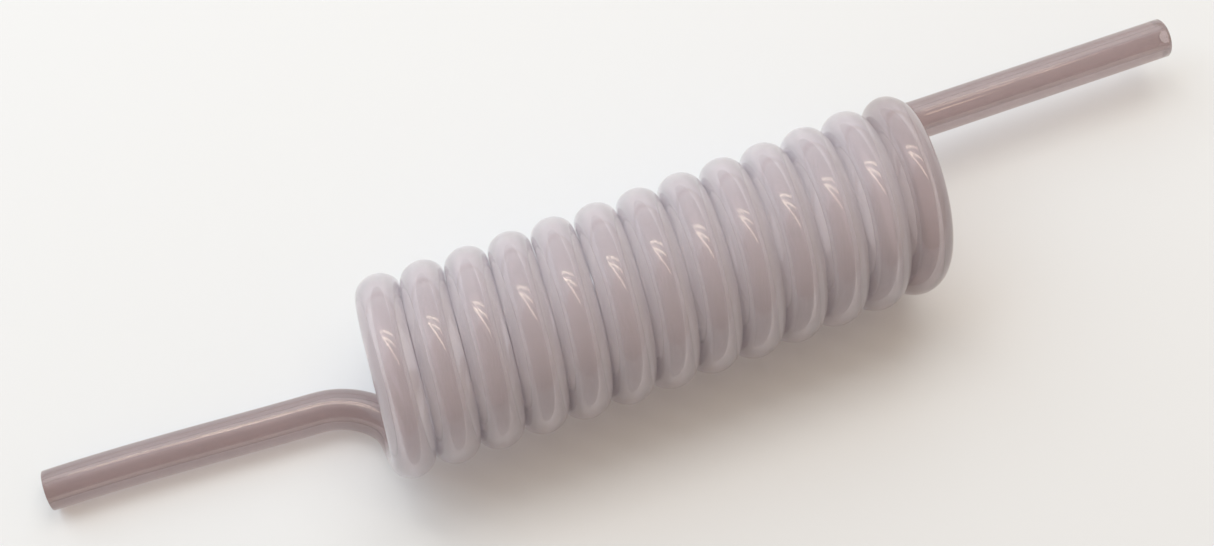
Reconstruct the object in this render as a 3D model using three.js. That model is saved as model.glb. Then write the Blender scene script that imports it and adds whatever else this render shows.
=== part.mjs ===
// Cooling coil: one length of semi-rigid plastic tube, wound and heat-set into a close coil,
// with a straight tail and an open, square-cut end at each side.
//
// Millimetres, +Z up. +X runs along the coil, from the inlet to the outlet. The coil lies on
// its side, and the origin is on the surface under the middle of the tube's box.
//
// The tube is one piece. It is built here as named lengths that meet end to end, one for each
// turn, so that the coil can open like a spring.

import * as THREE from "three";

// Tube
const TUBE_OD = 7.94;
const TUBE_BORE = 3.18;
const COIL_WIDTH = 1.035; // the bent tube is a little oval: wider along the coil's axis
const COIL_HEIGHT = 0.985; // and flatter towards it
const CUT_GAP = 0.3; // left between two lengths

// Coil: its angle is 0 at the near side (-Y) and grows over the top to the far side (+Y)
const COIL_RADIUS = 15.25; // axis of the coil to the centre of the tube
const PITCH = 8.52;
const TURNS = 13;
const COIL_START = -0.178; // in turns, just past the bottom
const COIL_END = 12.475; // in turns, at the far side
const SEAM = -0.25; // where each turn's length starts: the bottom of the coil

// Tails: points on the centre line, from the coil's axis and from where its angle is 0
const INLET_END = new THREE.Vector3(-67.3, 6.7, -COIL_RADIUS);
const INLET_BEND = new THREE.Vector3(-14.2, 3.25, -COIL_RADIUS);
const OUTLET_BEND = new THREE.Vector3(115.2, 16.2, -7);
const OUTLET_END = new THREE.Vector3(170.4, 15.8, -8);
const INLET_END_SLOPE = -0.023; // the inlet tail curves a little: its Y over X at its end
const INLET_BEND_SLOPE = -0.064; // and where its elbow starts
const INLET_PULL = 17; // how strongly the inlet elbow keeps its first and last directions
const OUTLET_PULL = 14;

// Facets
const OUTER_SIDES = 12;
const BORE_SIDES = 6;
const STEPS_PER_TURN = 18;
const ELBOW_STEPS = 8;
const TAIL_STEPS = 6;

const MILKY_PLASTIC = 0xb9b1b8;

const fullTurn = 2 * Math.PI;

function coilPoint(turns) {
  const angle = fullTurn * turns;
  return new THREE.Vector3(
    PITCH * turns,
    -COIL_RADIUS * Math.cos(angle),
    COIL_RADIUS * Math.sin(angle),
  );
}

function coilDirection(turns) {
  const angle = fullTurn * turns;
  return new THREE.Vector3(
    PITCH,
    fullTurn * COIL_RADIUS * Math.sin(angle),
    fullTurn * COIL_RADIUS * Math.cos(angle),
  ).normalize();
}

// One length of the tube's centre line. Its section is turned to face away from the coil's axis,
// so that the oval lies the same way all round and the lengths' facets line up.
class TubeLength extends THREE.Curve {
  constructor(pointAt, from, to) {
    super();
    this.pointAt = pointAt;
    this.from = from;
    this.to = to;
  }

  getPoint(t) {
    return this.pointAt(THREE.MathUtils.lerp(this.from, this.to, t));
  }

  computeFrenetFrames(segments) {
    const tangents = [];
    const normals = [];
    const binormals = [];
    for (let i = 0; i <= segments; i += 1) {
      const t = i / segments;
      const point = this.getPointAt(t);
      const tangent = this.getTangentAt(t);
      const outward = new THREE.Vector3(0, point.y, point.z);
      outward.addScaledVector(tangent, -outward.dot(tangent)).normalize();
      tangents.push(tangent);
      normals.push(outward);
      binormals.push(new THREE.Vector3().crossVectors(tangent, outward));
    }
    return { tangents, normals, binormals };
  }
}

// Corners of a ring of the tube's section. Its facets have the circle's mean radius, so that
// the wall keeps its true cross-section area.
function sectionRing(diameter, sides, height, width) {
  const corner = fullTurn / sides;
  const radius = (diameter / 2) * Math.sqrt(corner / Math.sin(corner));
  return Array.from({ length: sides }, (_, i) => {
    const angle = corner * (i + 0.5);
    return new THREE.Vector2(
      radius * height * Math.cos(angle),
      radius * width * Math.sin(angle),
    );
  });
}

function tubeSection(height, width) {
  const section = new THREE.Shape(sectionRing(TUBE_OD, OUTER_SIDES, height, width));
  section.holes.push(new THREE.Path(sectionRing(TUBE_BORE, BORE_SIDES, height, width)));
  return section;
}

const roundSection = tubeSection(1, 1);
const ovalSection = tubeSection(COIL_HEIGHT, COIL_WIDTH);

function tubePiece(name, route, section, steps) {
  const geometry = new THREE.ExtrudeGeometry(section, { steps, extrudePath: route });
  const material = new THREE.MeshStandardMaterial({
    color: MILKY_PLASTIC,
    roughness: 0.28,
    metalness: 0,
  });
  const piece = new THREE.Mesh(geometry, material);
  piece.name = name;
  return piece;
}

// A smooth bend that leaves one point in one direction and reaches the other in the other.
function bend(start, startDirection, end, endDirection, pull) {
  return new THREE.CubicBezierCurve3(
    start,
    start.clone().addScaledVector(startDirection, pull / 3),
    end.clone().addScaledVector(endDirection, -pull / 3),
    end,
  );
}

// Part of a curve, with the cut gap taken off at each end that meets another length.
function cutLength(curve, trimStart, trimEnd) {
  const whole = curve.getLength();
  return new TubeLength((u) => curve.getPointAt(u), trimStart / whole, 1 - trimEnd / whole);
}

function coilTurn(number) {
  const turnLength = Math.hypot(PITCH, fullTurn * COIL_RADIUS);
  const trim = CUT_GAP / 2 / turnLength;
  const from = Math.max(SEAM + number - 1, COIL_START) + trim;
  const to = Math.min(SEAM + number, COIL_END) - trim;
  const name = `turn_${String(number).padStart(2, "0")}`;
  const steps = Math.ceil(STEPS_PER_TURN * (to - from));
  return tubePiece(name, new TubeLength(coilPoint, from, to), ovalSection, steps);
}

function inletSide() {
  const endDirection = new THREE.Vector3(1, INLET_END_SLOPE, 0).normalize();
  const bendDirection = new THREE.Vector3(1, INLET_BEND_SLOPE, 0).normalize();
  const coilFirst = coilPoint(COIL_START);
  const tailLength = INLET_END.distanceTo(INLET_BEND);
  const tail = bend(INLET_END, endDirection, INLET_BEND, bendDirection, tailLength);
  const elbow = bend(INLET_BEND, bendDirection, coilFirst, coilDirection(COIL_START), INLET_PULL);
  return [
    tubePiece("inlet_tail", cutLength(tail, 0, CUT_GAP / 2), roundSection, TAIL_STEPS),
    tubePiece("inlet_elbow", cutLength(elbow, CUT_GAP / 2, CUT_GAP / 2), roundSection, ELBOW_STEPS),
  ];
}

function outletSide() {
  const direction = OUTLET_END.clone().sub(OUTLET_BEND).normalize();
  const coilLast = coilPoint(COIL_END);
  const tailLength = OUTLET_END.distanceTo(OUTLET_BEND);
  const elbow = bend(coilLast, coilDirection(COIL_END), OUTLET_BEND, direction, OUTLET_PULL);
  const tail = bend(OUTLET_BEND, direction, OUTLET_END, direction, tailLength);
  return [
    tubePiece("outlet_elbow", cutLength(elbow, CUT_GAP / 2, CUT_GAP / 2), roundSection, ELBOW_STEPS),
    tubePiece("outlet_tail", cutLength(tail, CUT_GAP / 2, 0), roundSection, TAIL_STEPS),
  ];
}

const coil = new THREE.Group();
coil.add(...inletSide());
for (let number = 1; number <= TURNS; number += 1) coil.add(coilTurn(number));
coil.add(...outletSide());

// Stand the coil on z = 0, with the middle of its box over the origin.
const box = new THREE.Box3().setFromObject(coil);
const middle = box.getCenter(new THREE.Vector3());
coil.position.set(-middle.x, -middle.y, -box.min.z);

export default coil;
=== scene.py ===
"""Looks for the coiled plastic tube: one continuous tube on a plain pale floor, in soft light.

Metres, in the CAD model's frame. +X runs along the coil, and +Z is up.
"""

import math

import bpy
import numpy as np
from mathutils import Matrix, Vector


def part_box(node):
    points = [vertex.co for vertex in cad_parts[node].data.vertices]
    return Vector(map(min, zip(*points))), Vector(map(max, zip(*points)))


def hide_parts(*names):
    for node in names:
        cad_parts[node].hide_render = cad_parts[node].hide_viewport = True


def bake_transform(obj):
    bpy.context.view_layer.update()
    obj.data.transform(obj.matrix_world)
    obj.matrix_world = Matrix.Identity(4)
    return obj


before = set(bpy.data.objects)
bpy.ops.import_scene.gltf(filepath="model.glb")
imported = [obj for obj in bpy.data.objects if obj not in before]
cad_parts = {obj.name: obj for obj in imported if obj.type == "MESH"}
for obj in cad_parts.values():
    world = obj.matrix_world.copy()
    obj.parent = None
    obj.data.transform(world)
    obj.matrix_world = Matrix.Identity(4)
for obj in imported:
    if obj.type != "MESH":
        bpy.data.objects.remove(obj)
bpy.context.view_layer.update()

MM = 0.001

# Tube
OUTER_RADIUS = 3.97 * MM
BORE_RADIUS = 1.59 * MM
COIL_WIDTH = 1.087  # the bent tube is a little oval: wider along the coil's axis
COIL_HEIGHT = 0.985  # and flatter towards it
PRESSED_AT = 1.121  # its sides press flat against the next turns, in outer radii
PRESSED_EDGE = 16  # how sharply the flat side begins
EDGE = 0.12 * MM  # the small bevel on the cut ends

# Coil: turns are counted from its near side (-Y), over the top
COIL_RADIUS = 15.25 * MM
PITCH = 8.52 * MM
COIL_START = -0.178
COIL_END = 12.475
BOW = 0.95 * MM  # the coil's middle lies this much nearer (-Y) than its ends
LOOSE_TURN = 0.1 * MM  # the first turn lies this much further from the second
WANDER = 0.05 * MM  # other small faults of the winding

# Tails: points from the coil's axis, and from where its turns are counted
INLET_END = np.array([-67.3, 6.7, -15.25]) * MM
INLET_BEND = np.array([-14.2, 3.25, -15.25]) * MM
OUTLET_BEND = np.array([115.2, 16.2, -7.0]) * MM
OUTLET_END = np.array([170.4, 15.8, -8.0]) * MM
INLET_END_DIRECTION = np.array([1, -0.023, 0])
INLET_BEND_DIRECTION = np.array([1, -0.064, 0])
INLET_PULL = 17 * MM
OUTLET_PULL = 14 * MM

# How the coil opens: turn 1 stays with the inlet, and turn 13 goes with the outlet
FIRST_STILL = 0.25
OPENING_TURNS = 12
OPENING_EASE = 0.25

# Mesh
TAIL_POINTS = 200  # on the centre line, before it is cut into even steps
ELBOW_POINTS = 120
COIL_POINTS = 6000
FINE_STEP = 0.25 * MM
SOFT_STEPS = 12  # each side of a point, where the joins of the centre line are rounded off
SOFT_MARGIN = 0.12  # turns at each end of the coil that the rounding reaches into
ROUND_TO_OVAL = 0.15  # turns that the section takes to go from round to oval
RING_STEP = 1.35 * MM
OUTER_SIDES = 48
BORE_SIDES = 28

# Plastic: of the skin in the tails and in the coil, then of the bore in the tails and in the coil.
# The coil's skin is the plastic's own milky colour; the tails' skin and the bores are painted
# darker and browner, as painted shade for the dark surroundings seen through the tube.
PLASTIC_AND_SHADE_COLOURS = ((0.50, 0.405, 0.42), (0.795, 0.755, 0.835), (0.73, 0.64, 0.64), (0.64, 0.54, 0.56))
CLEARNESS = (0.88, 0.77, 0.92, 0.86)
ROUGHNESS = (0.07, 0.11, 0.05, 0.12)
REFRACTION = 1.5
UNEVEN_HAZE = 0.06  # how much the colour changes from place to place
HAZE_SCALE, HAZE_STRETCH = 90, 0.6
STREAK_SCALE, STREAK_STRETCH = 1400, 0.02
# The last turn is painted darker towards the tails' colours, as painted shade at the coil's right
# end, away from the light; it also grows clearer.
CLEARER_SHADED_END = 0.45  # how far the last turn goes towards the tails' colour,
CLEARER_SHADED_FROM, CLEARER_SHADED_BY = 1.3, 0.5  # between these turns from the coil's end
BUMP_STRENGTH = 0.01
BUMP_HEIGHT = 0.02 * MM
HAZE_DENSITY = 150  # inside the wall, per metre
HAZE_COLOUR = (0.90, 0.94, 1.0)
LIT_THROUGH = (0.9, 0.88, 0.88)  # what the wall lets through of a lamp's light

# Stage
FLOOR_HALF = 3.0
FLOOR_COLOUR = (0.81, 0.87, 0.95)
FLOOR_ROUGHNESS = 0.7
WORLD_COLOUR = (1.0, 0.77, 0.57)
WORLD_STRENGTH = 0.44
GLINT_COLOUR = (1.0, 0.84, 0.66)
# Lamps: name, place, size, radiance, colour, and whether the tube reflects them. The wide
# back lamp whitens the upper half of each turn, and the strips make stacked faint arcs there.
LAMPS = (
    ("key", (-0.8, 0.85, 1.15), (1.6, 1.4), 1.0, (0.77, 0.92, 1.0), False),
    ("wide_back", (-0.2, 1.1, 1.1), (3.0, 2.2), 0.92, (0.79, 0.92, 1.0), True),
    ("strip_1", (0.13, 0.14, 0.98), (0.9, 0.06), 8.0, GLINT_COLOUR, True),
    ("strip_2", (0.13, 0.35, 0.98), (0.9, 0.06), 8.0, GLINT_COLOUR, True),
    ("strip_3", (0.13, 0.56, 0.98), (0.9, 0.06), 8.0, GLINT_COLOUR, True),
)

# Camera
TARGET = Vector((-6.04, 4.51, 19.41)) * MM
AZIMUTH = math.radians(-20.73)  # 0 looks along +Y
ELEVATION = math.radians(69.36)
DISTANCE = 352.3 * MM
LENS = 55.16


def unit(vectors):
    return vectors / np.linalg.norm(vectors, axis=-1, keepdims=True)


def ease(value, start, end):
    t = np.clip((value - start) / (end - start), 0, 1)
    return t * t * (3 - 2 * t)


# ---------------------------------------------------------------- route


def coil_point(turns):
    """Points on the tube's centre line in the coil, at these numbers of turns."""
    turns = np.asarray(turns, float)
    angle = 2 * np.pi * turns
    along = np.clip(turns / OPENING_TURNS, 0, 1)
    radius = COIL_RADIUS + WANDER * (np.sin(1.7 * turns + 0.4) + 0.6 * np.sin(4.3 * turns))
    x = PITCH * turns - LOOSE_TURN * (1 - ease(turns, 0.2, 1.1))
    x = x + WANDER * (0.7 * np.sin(2.3 * turns + 1.1) + 0.5 * np.sin(0.9 * turns + 2.0))
    y = -radius * np.cos(angle) - BOW * 4 * along * (1 - along)
    return np.stack([x, y, radius * np.sin(angle)], -1)


def coil_direction(turns, step=1e-4):
    return unit(coil_point(turns + step) - coil_point(turns - step))


def bend(start, start_direction, end, end_direction, pull, steps):
    """A smooth bend between two points, leaving and reaching them in the given directions."""
    t = np.linspace(0, 1, steps)[:, None]
    a = start + unit(start_direction) * pull / 3
    b = end - unit(end_direction) * pull / 3
    return (1 - t) ** 3 * start + 3 * (1 - t) ** 2 * t * a + 3 * (1 - t) * t**2 * b + t**3 * end


def whole_route():
    """The centre line, with the number of turns at each point, in even steps."""
    outlet_direction = OUTLET_END - OUTLET_BEND
    inlet_tail = bend(
        INLET_END,
        INLET_END_DIRECTION,
        INLET_BEND,
        INLET_BEND_DIRECTION,
        np.linalg.norm(INLET_BEND - INLET_END),
        TAIL_POINTS,
    )
    inlet_elbow = bend(
        INLET_BEND,
        INLET_BEND_DIRECTION,
        coil_point(COIL_START),
        coil_direction(COIL_START),
        INLET_PULL,
        ELBOW_POINTS,
    )
    turns = np.linspace(COIL_START, COIL_END, COIL_POINTS)
    outlet_elbow = bend(
        coil_point(COIL_END),
        coil_direction(COIL_END),
        OUTLET_BEND,
        outlet_direction,
        OUTLET_PULL,
        ELBOW_POINTS,
    )
    outlet_tail = np.linspace(OUTLET_BEND, OUTLET_END, TAIL_POINTS)
    before = np.concatenate([inlet_tail, inlet_elbow[1:-1]])
    after = np.concatenate([outlet_elbow[1:-1], outlet_tail])
    points = np.concatenate([before, coil_point(turns), after])
    counted = np.concatenate(
        [np.full(len(before), COIL_START), turns, np.full(len(after), COIL_END)]
    )
    lengths = np.linalg.norm(np.diff(points, axis=0), axis=1)
    travelled = np.concatenate([[0], np.cumsum(lengths)])
    fine = np.linspace(0, travelled[-1], int(travelled[-1] / FINE_STEP))
    points = np.stack([np.interp(fine, travelled, points[:, i]) for i in range(3)], -1)
    counted = np.interp(fine, travelled, counted)
    return points, counted, fine


def inside_coil(turns, margin):
    """0 in the tails, rising to 1 within this many turns of each end of the coil."""
    return ease(turns, COIL_START, COIL_START + margin) * ease(turns, COIL_END, COIL_END - margin)


def smoothed(points, counted):
    """Rounds off the joins between the tails, elbows and coil, and leaves the rest as it is."""
    window = np.hanning(2 * SOFT_STEPS + 1)
    window /= window.sum()
    before = 2 * points[:1] - points[SOFT_STEPS:0:-1]
    after = 2 * points[-1:] - points[-2 : -2 - SOFT_STEPS : -1]
    padded = np.concatenate([before, points, after])
    soft = np.stack([np.convolve(padded[:, i], window, "valid") for i in range(3)], -1)
    kept = inside_coil(counted, SOFT_MARGIN)[:, None]
    return points * kept + soft * (1 - kept)


def opening_share(turns):
    """How far a point goes with the outlet when the coil opens, from 0 to 1."""
    past = turns - FIRST_STILL
    left = OPENING_TURNS - past

    def ramp(value):
        start = (np.clip(value, -OPENING_EASE, OPENING_EASE) + OPENING_EASE) ** 2
        return np.where(value > OPENING_EASE, value, start / (4 * OPENING_EASE))

    opened = np.where(past < left, ramp(past), OPENING_TURNS - ramp(left))
    return np.clip(opened, 0, None) / OPENING_TURNS


# ---------------------------------------------------------------- tube mesh


def make_tube():
    """The tube's mesh: one closed wall, from an outer skin, a bore and two cut ends."""
    points, counted, travelled = whole_route()
    points = smoothed(points, counted)
    tangents = unit(np.gradient(points, axis=0))
    outward = points * [0, 1, 1]
    outward = unit(outward - (outward * tangents).sum(1)[:, None] * tangents)
    sideways = np.cross(tangents, outward)
    oval = inside_coil(counted, ROUND_TO_OVAL)
    # Painted shade: the last turn darkens towards the tails' colours, and grows clearer.
    clearer_shaded = ease(counted, COIL_END - CLEARER_SHADED_FROM, COIL_END - CLEARER_SHADED_BY)
    milky_unshaded = oval * (1 - CLEARER_SHADED_END * clearer_shaded)

    # Rings sit at even steps, with extra ones for the bevels of the cut ends.
    total = travelled[-1]
    count = int(round((total - 2 * EDGE) / RING_STEP))
    stations = np.linspace(EDGE, total - EDGE, count + 1)

    def at(values, where):
        if values.ndim == 1:
            return np.interp(where, travelled, values)
        return np.stack([np.interp(where, travelled, values[:, i]) for i in range(3)], -1)

    vertices, straight, share, is_bore, in_coil = [], [], [], [], []

    def add_rings(where, radius, sides, bore):
        """Adds one ring for each station, and returns the number of its first vertex."""
        first = sum(map(len, vertices))
        where = np.asarray(where, float)
        radius = np.broadcast_to(radius, where.shape)
        angle = 2 * np.pi * np.arange(sides) / sides
        wound = at(oval, where)[:, None]
        tall = radius[:, None] * (1 + (COIL_HEIGHT - 1) * wound) * np.cos(angle)
        wide = radius[:, None] * (1 + (COIL_WIDTH - 1) * wound) * np.sin(angle)
        pressed = np.abs(wide / (PRESSED_AT * OUTER_RADIUS)) ** PRESSED_EDGE * wound
        wide = wide / (1 + pressed) ** (1 / PRESSED_EDGE)
        out = tall[..., None] * at(outward, where)[:, None]
        side = wide[..., None] * at(sideways, where)[:, None]
        vertices.append((at(points, where)[:, None] + out + side).reshape(-1, 3))
        round_ring = radius[:, None] * np.cos(angle), radius[:, None] * np.sin(angle)
        unrolled = np.stack([*round_ring, np.repeat(where[:, None], sides, 1)], -1)
        straight.append(unrolled.reshape(-1, 3))
        share.append(np.repeat(opening_share(at(counted, where)), sides))
        is_bore.append(np.full(len(where) * sides, float(bore)))
        in_coil.append(np.repeat(at(milky_unshaded, where), sides))
        return first

    outer_at = np.concatenate([[0], stations, [total]])
    outer_radius = np.full(len(outer_at), OUTER_RADIUS)
    outer_radius[[0, -1]] -= EDGE
    bore_radius = np.full(len(outer_at), BORE_RADIUS)
    bore_radius[[0, -1]] += EDGE
    outer_first = add_rings(outer_at, outer_radius, OUTER_SIDES, False)
    bore_first = add_rings(outer_at, bore_radius, BORE_SIDES, True)

    faces = []

    def skin(first, rings, sides, inwards):
        for ring in range(rings - 1):
            base = first + ring * sides
            for i in range(sides):
                j = (i + 1) % sides
                face = [base + i, base + j, base + sides + j, base + sides + i]
                faces.append(face[::-1] if inwards else face)

    skin(outer_first, len(outer_at), OUTER_SIDES, False)
    skin(bore_first, len(outer_at), BORE_SIDES, True)

    def cut_end(ring, flip):
        """Fills the ring-shaped face between the outer skin and the bore at one end."""
        outer = [outer_first + ring * OUTER_SIDES + i for i in range(OUTER_SIDES)]
        bore = [bore_first + ring * BORE_SIDES + i for i in range(BORE_SIDES)]
        i = j = 0
        while i < OUTER_SIDES or j < BORE_SIDES:
            step_outer = j >= BORE_SIDES or (
                i < OUTER_SIDES and (i + 0.5) / OUTER_SIDES <= (j + 0.5) / BORE_SIDES
            )
            a, b = outer[i % OUTER_SIDES], bore[j % BORE_SIDES]
            if step_outer:
                face = [a, b, outer[(i + 1) % OUTER_SIDES]]
                i += 1
            else:
                face = [a, b, bore[(j + 1) % BORE_SIDES]]
                j += 1
            faces.append(face[::-1] if flip else face)

    skin_faces = len(faces)
    cut_end(0, False)
    cut_end(len(outer_at) - 1, True)

    # Put the route where the CAD model has it: the seventh turn's box is centred on the axis.
    low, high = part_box("turn_07")
    shift = (low + high) / 2 - Vector((PITCH * 6.25, 0, 0))
    mesh = bpy.data.meshes.new("coiled_tube")
    mesh.from_pydata((np.concatenate(vertices) + np.array(shift)).tolist(), [], faces)
    mesh.validate()
    for name, kind, values in (
        ("straight", "FLOAT_VECTOR", np.concatenate(straight)),
        ("bore", "FLOAT", np.concatenate(is_bore)),
        ("wound", "FLOAT", np.concatenate(in_coil)),
    ):
        layer = mesh.attributes.new(name, kind, "POINT")
        field = "vector" if kind == "FLOAT_VECTOR" else "value"
        layer.data.foreach_set(field, values.astype(np.float32).ravel())
    mesh.polygons.foreach_set("use_smooth", np.arange(len(faces)) < skin_faces)
    mesh.update()
    tube = bpy.data.objects.new("coiled_tube", mesh)
    bpy.context.scene.collection.objects.link(tube)
    return tube, np.concatenate(share)


def join_to_frame(tube):
    """Bakes the tube's placement into its mesh, and hides the CAD model's parts."""
    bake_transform(tube)
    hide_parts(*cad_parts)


# ---------------------------------------------------------------- materials


def new_material(name):
    material = bpy.data.materials.new(name)
    material.use_nodes = True
    tree = material.node_tree
    tree.nodes.clear()
    output = tree.nodes.new("ShaderNodeOutputMaterial")
    shader = tree.nodes.new("ShaderNodeBsdfPrincipled")
    tree.links.new(shader.outputs["BSDF"], output.inputs["Surface"])
    return material, tree, shader, output


def noise(tree, vector, scale, detail, roughness, stretch):
    mapping = tree.nodes.new("ShaderNodeMapping")
    mapping.inputs["Scale"].default_value = stretch
    tree.links.new(vector, mapping.inputs["Vector"])
    texture = tree.nodes.new("ShaderNodeTexNoise")
    texture.inputs["Scale"].default_value = scale
    texture.inputs["Detail"].default_value = detail
    texture.inputs["Roughness"].default_value = roughness
    tree.links.new(mapping.outputs[0], texture.inputs["Vector"])
    return texture.outputs["Fac"]


def in_range(tree, value, low, high, to_low, to_high):
    node = tree.nodes.new("ShaderNodeMapRange")
    for name, number in zip(
        ("From Min", "From Max", "To Min", "To Max"), (low, high, to_low, to_high)
    ):
        node.inputs[name].default_value = number
    tree.links.new(value, node.inputs["Value"])
    return node.outputs[0]


def mixed(tree, factor, a, b):
    node = tree.nodes.new("ShaderNodeMix")
    node.data_type = "RGBA"
    for socket, value in ((node.inputs[6], a), (node.inputs[7], b)):
        if isinstance(value, tuple):
            socket.default_value = (*value, 1)
        else:
            tree.links.new(value, socket)
    tree.links.new(factor, node.inputs[0])
    return node.outputs[2]


def attribute(tree, name, output="Fac"):
    node = tree.nodes.new("ShaderNodeAttribute")
    node.attribute_name = name
    return node.outputs[output]


def by_part(tree, bore, wound, values):
    """A colour or number for each part of the tube: its skin and bore, in the tails and coil."""
    colours = [value if isinstance(value, tuple) else (value,) * 3 for value in values]
    skin = mixed(tree, wound, colours[0], colours[1])
    inside = mixed(tree, wound, colours[2], colours[3])
    return mixed(tree, bore, skin, inside)


def scaled(colours, factor):
    return [tuple(min(channel * factor, 1) for channel in colour) for colour in colours]


def times(tree, a, b):
    node = tree.nodes.new("ShaderNodeMath")
    node.operation = "MULTIPLY"
    node.use_clamp = True
    tree.links.new(a, node.inputs[0])
    tree.links.new(b, node.inputs[1])
    return node.outputs[0]


def milky_plastic():
    material, tree, shader, output = new_material("milky_plastic")
    straight = attribute(tree, "straight", "Vector")
    bore = attribute(tree, "bore")
    wound = attribute(tree, "wound")

    # Haze is cloudy. Streaks are fine lines that run along the tube.
    haze = noise(tree, straight, HAZE_SCALE, 3, 0.55, (1, 1, HAZE_STRETCH))
    streaks = noise(tree, straight, STREAK_SCALE, 2, 0.5, (1, 1, STREAK_STRETCH))
    # Both colours carry the painted shade of the tails' skin and of the bores.
    darker = by_part(tree, bore, wound, scaled(PLASTIC_AND_SHADE_COLOURS, 1 - UNEVEN_HAZE))
    lighter = by_part(tree, bore, wound, scaled(PLASTIC_AND_SHADE_COLOURS, 1 + UNEVEN_HAZE))
    rough = by_part(tree, bore, wound, ROUGHNESS)
    clear = by_part(tree, bore, wound, CLEARNESS)
    for name, value in (
        ("Base Color", mixed(tree, haze, darker, lighter)),
        ("Roughness", times(tree, rough, in_range(tree, streaks, 0.3, 0.7, 0.85, 1.15))),
        ("Transmission Weight", times(tree, clear, in_range(tree, streaks, 0.3, 0.75, 1.01, 0.98))),
    ):
        tree.links.new(value, shader.inputs[name])
    shader.inputs["IOR"].default_value = REFRACTION
    bump = tree.nodes.new("ShaderNodeBump")
    bump.inputs["Strength"].default_value = BUMP_STRENGTH
    bump.inputs["Distance"].default_value = BUMP_HEIGHT
    tree.links.new(streaks, bump.inputs["Height"])
    tree.links.new(bump.outputs[0], shader.inputs["Normal"])
    scatter = tree.nodes.new("ShaderNodeVolumeScatter")
    scatter.inputs["Color"].default_value = (*HAZE_COLOUR, 1)
    scatter.inputs["Density"].default_value = HAZE_DENSITY
    tree.links.new(scatter.outputs[0], output.inputs["Volume"])

    # Lamps shine through the walls, so that light fills the coil as it does a milky tube.
    light_path = tree.nodes.new("ShaderNodeLightPath")
    lit_through = tree.nodes.new("ShaderNodeBsdfTransparent")
    lit_through.inputs["Color"].default_value = (*LIT_THROUGH, 1)
    mix = tree.nodes.new("ShaderNodeMixShader")
    tree.links.new(light_path.outputs["Is Shadow Ray"], mix.inputs[0])
    tree.links.new(shader.outputs[0], mix.inputs[1])
    tree.links.new(lit_through.outputs[0], mix.inputs[2])
    tree.links.new(mix.outputs[0], output.inputs["Surface"])
    return material


def floor_material():
    material, _, shader, _ = new_material("pale_floor")
    shader.inputs["Base Color"].default_value = (*FLOOR_COLOUR, 1)
    shader.inputs["Roughness"].default_value = FLOOR_ROUGHNESS
    return material


# ---------------------------------------------------------------- stage


def make_floor():
    mesh = bpy.data.meshes.new("floor")
    corners = [(x * FLOOR_HALF, y * FLOOR_HALF, 0) for x, y in ((-1, -1), (1, -1), (1, 1), (-1, 1))]
    mesh.from_pydata(corners, [], [(0, 1, 2, 3)])
    mesh.materials.append(floor_material())
    floor = bpy.data.objects.new("floor", mesh)
    bpy.context.scene.collection.objects.link(floor)


def make_camera():
    data = bpy.data.cameras.new("camera")
    data.lens = LENS
    data.sensor_width = 36
    data.clip_start = 0.01
    camera = bpy.data.objects.new("camera", data)
    bpy.context.scene.collection.objects.link(camera)
    level = math.cos(ELEVATION)
    back = Vector((math.sin(AZIMUTH) * level, -math.cos(AZIMUTH) * level, math.sin(ELEVATION)))
    camera.rotation_mode = "QUATERNION"
    camera.location = TARGET + back * DISTANCE
    camera.rotation_quaternion = (-back).to_track_quat("-Z", "Y")
    bpy.context.scene.camera = camera


def make_lamp(name, position, size, radiance, colour, glints):
    """A soft lamp that faces the object. Without glints, the tube doesn't reflect it."""
    data = bpy.data.lights.new(name, "AREA")
    data.shape = "RECTANGLE"
    data.size, data.size_y = size
    data.energy = radiance * math.pi * size[0] * size[1]
    data.color = colour
    lamp = bpy.data.objects.new(name, data)
    bpy.context.scene.collection.objects.link(lamp)
    lamp.location = position
    lamp.rotation_mode = "QUATERNION"
    lamp.rotation_quaternion = (-Vector(position)).to_track_quat("-Z", "Y")
    lamp.visible_glossy = glints
    lamp.visible_transmission = glints


def make_light():
    world = bpy.data.worlds.new("world")
    world.use_nodes = True
    background = world.node_tree.nodes["Background"]
    background.inputs["Color"].default_value = (*WORLD_COLOUR, 1)
    background.inputs["Strength"].default_value = WORLD_STRENGTH
    bpy.context.scene.world = world
    for lamp in LAMPS:
        make_lamp(*lamp)


def let_light_into_walls():
    """Lets light bounce often enough to get through the stacked walls of a milky tube."""
    cycles = bpy.context.scene.cycles
    cycles.max_bounces = 20
    cycles.transmission_bounces = 20
    cycles.transparent_max_bounces = 32
    cycles.volume_bounces = 3


tube, share = make_tube()
tube.data.materials.append(milky_plastic())
join_to_frame(tube)
make_floor()
make_light()
make_camera()
let_light_into_walls()
bpy.context.scene.view_settings.view_transform = "Standard"
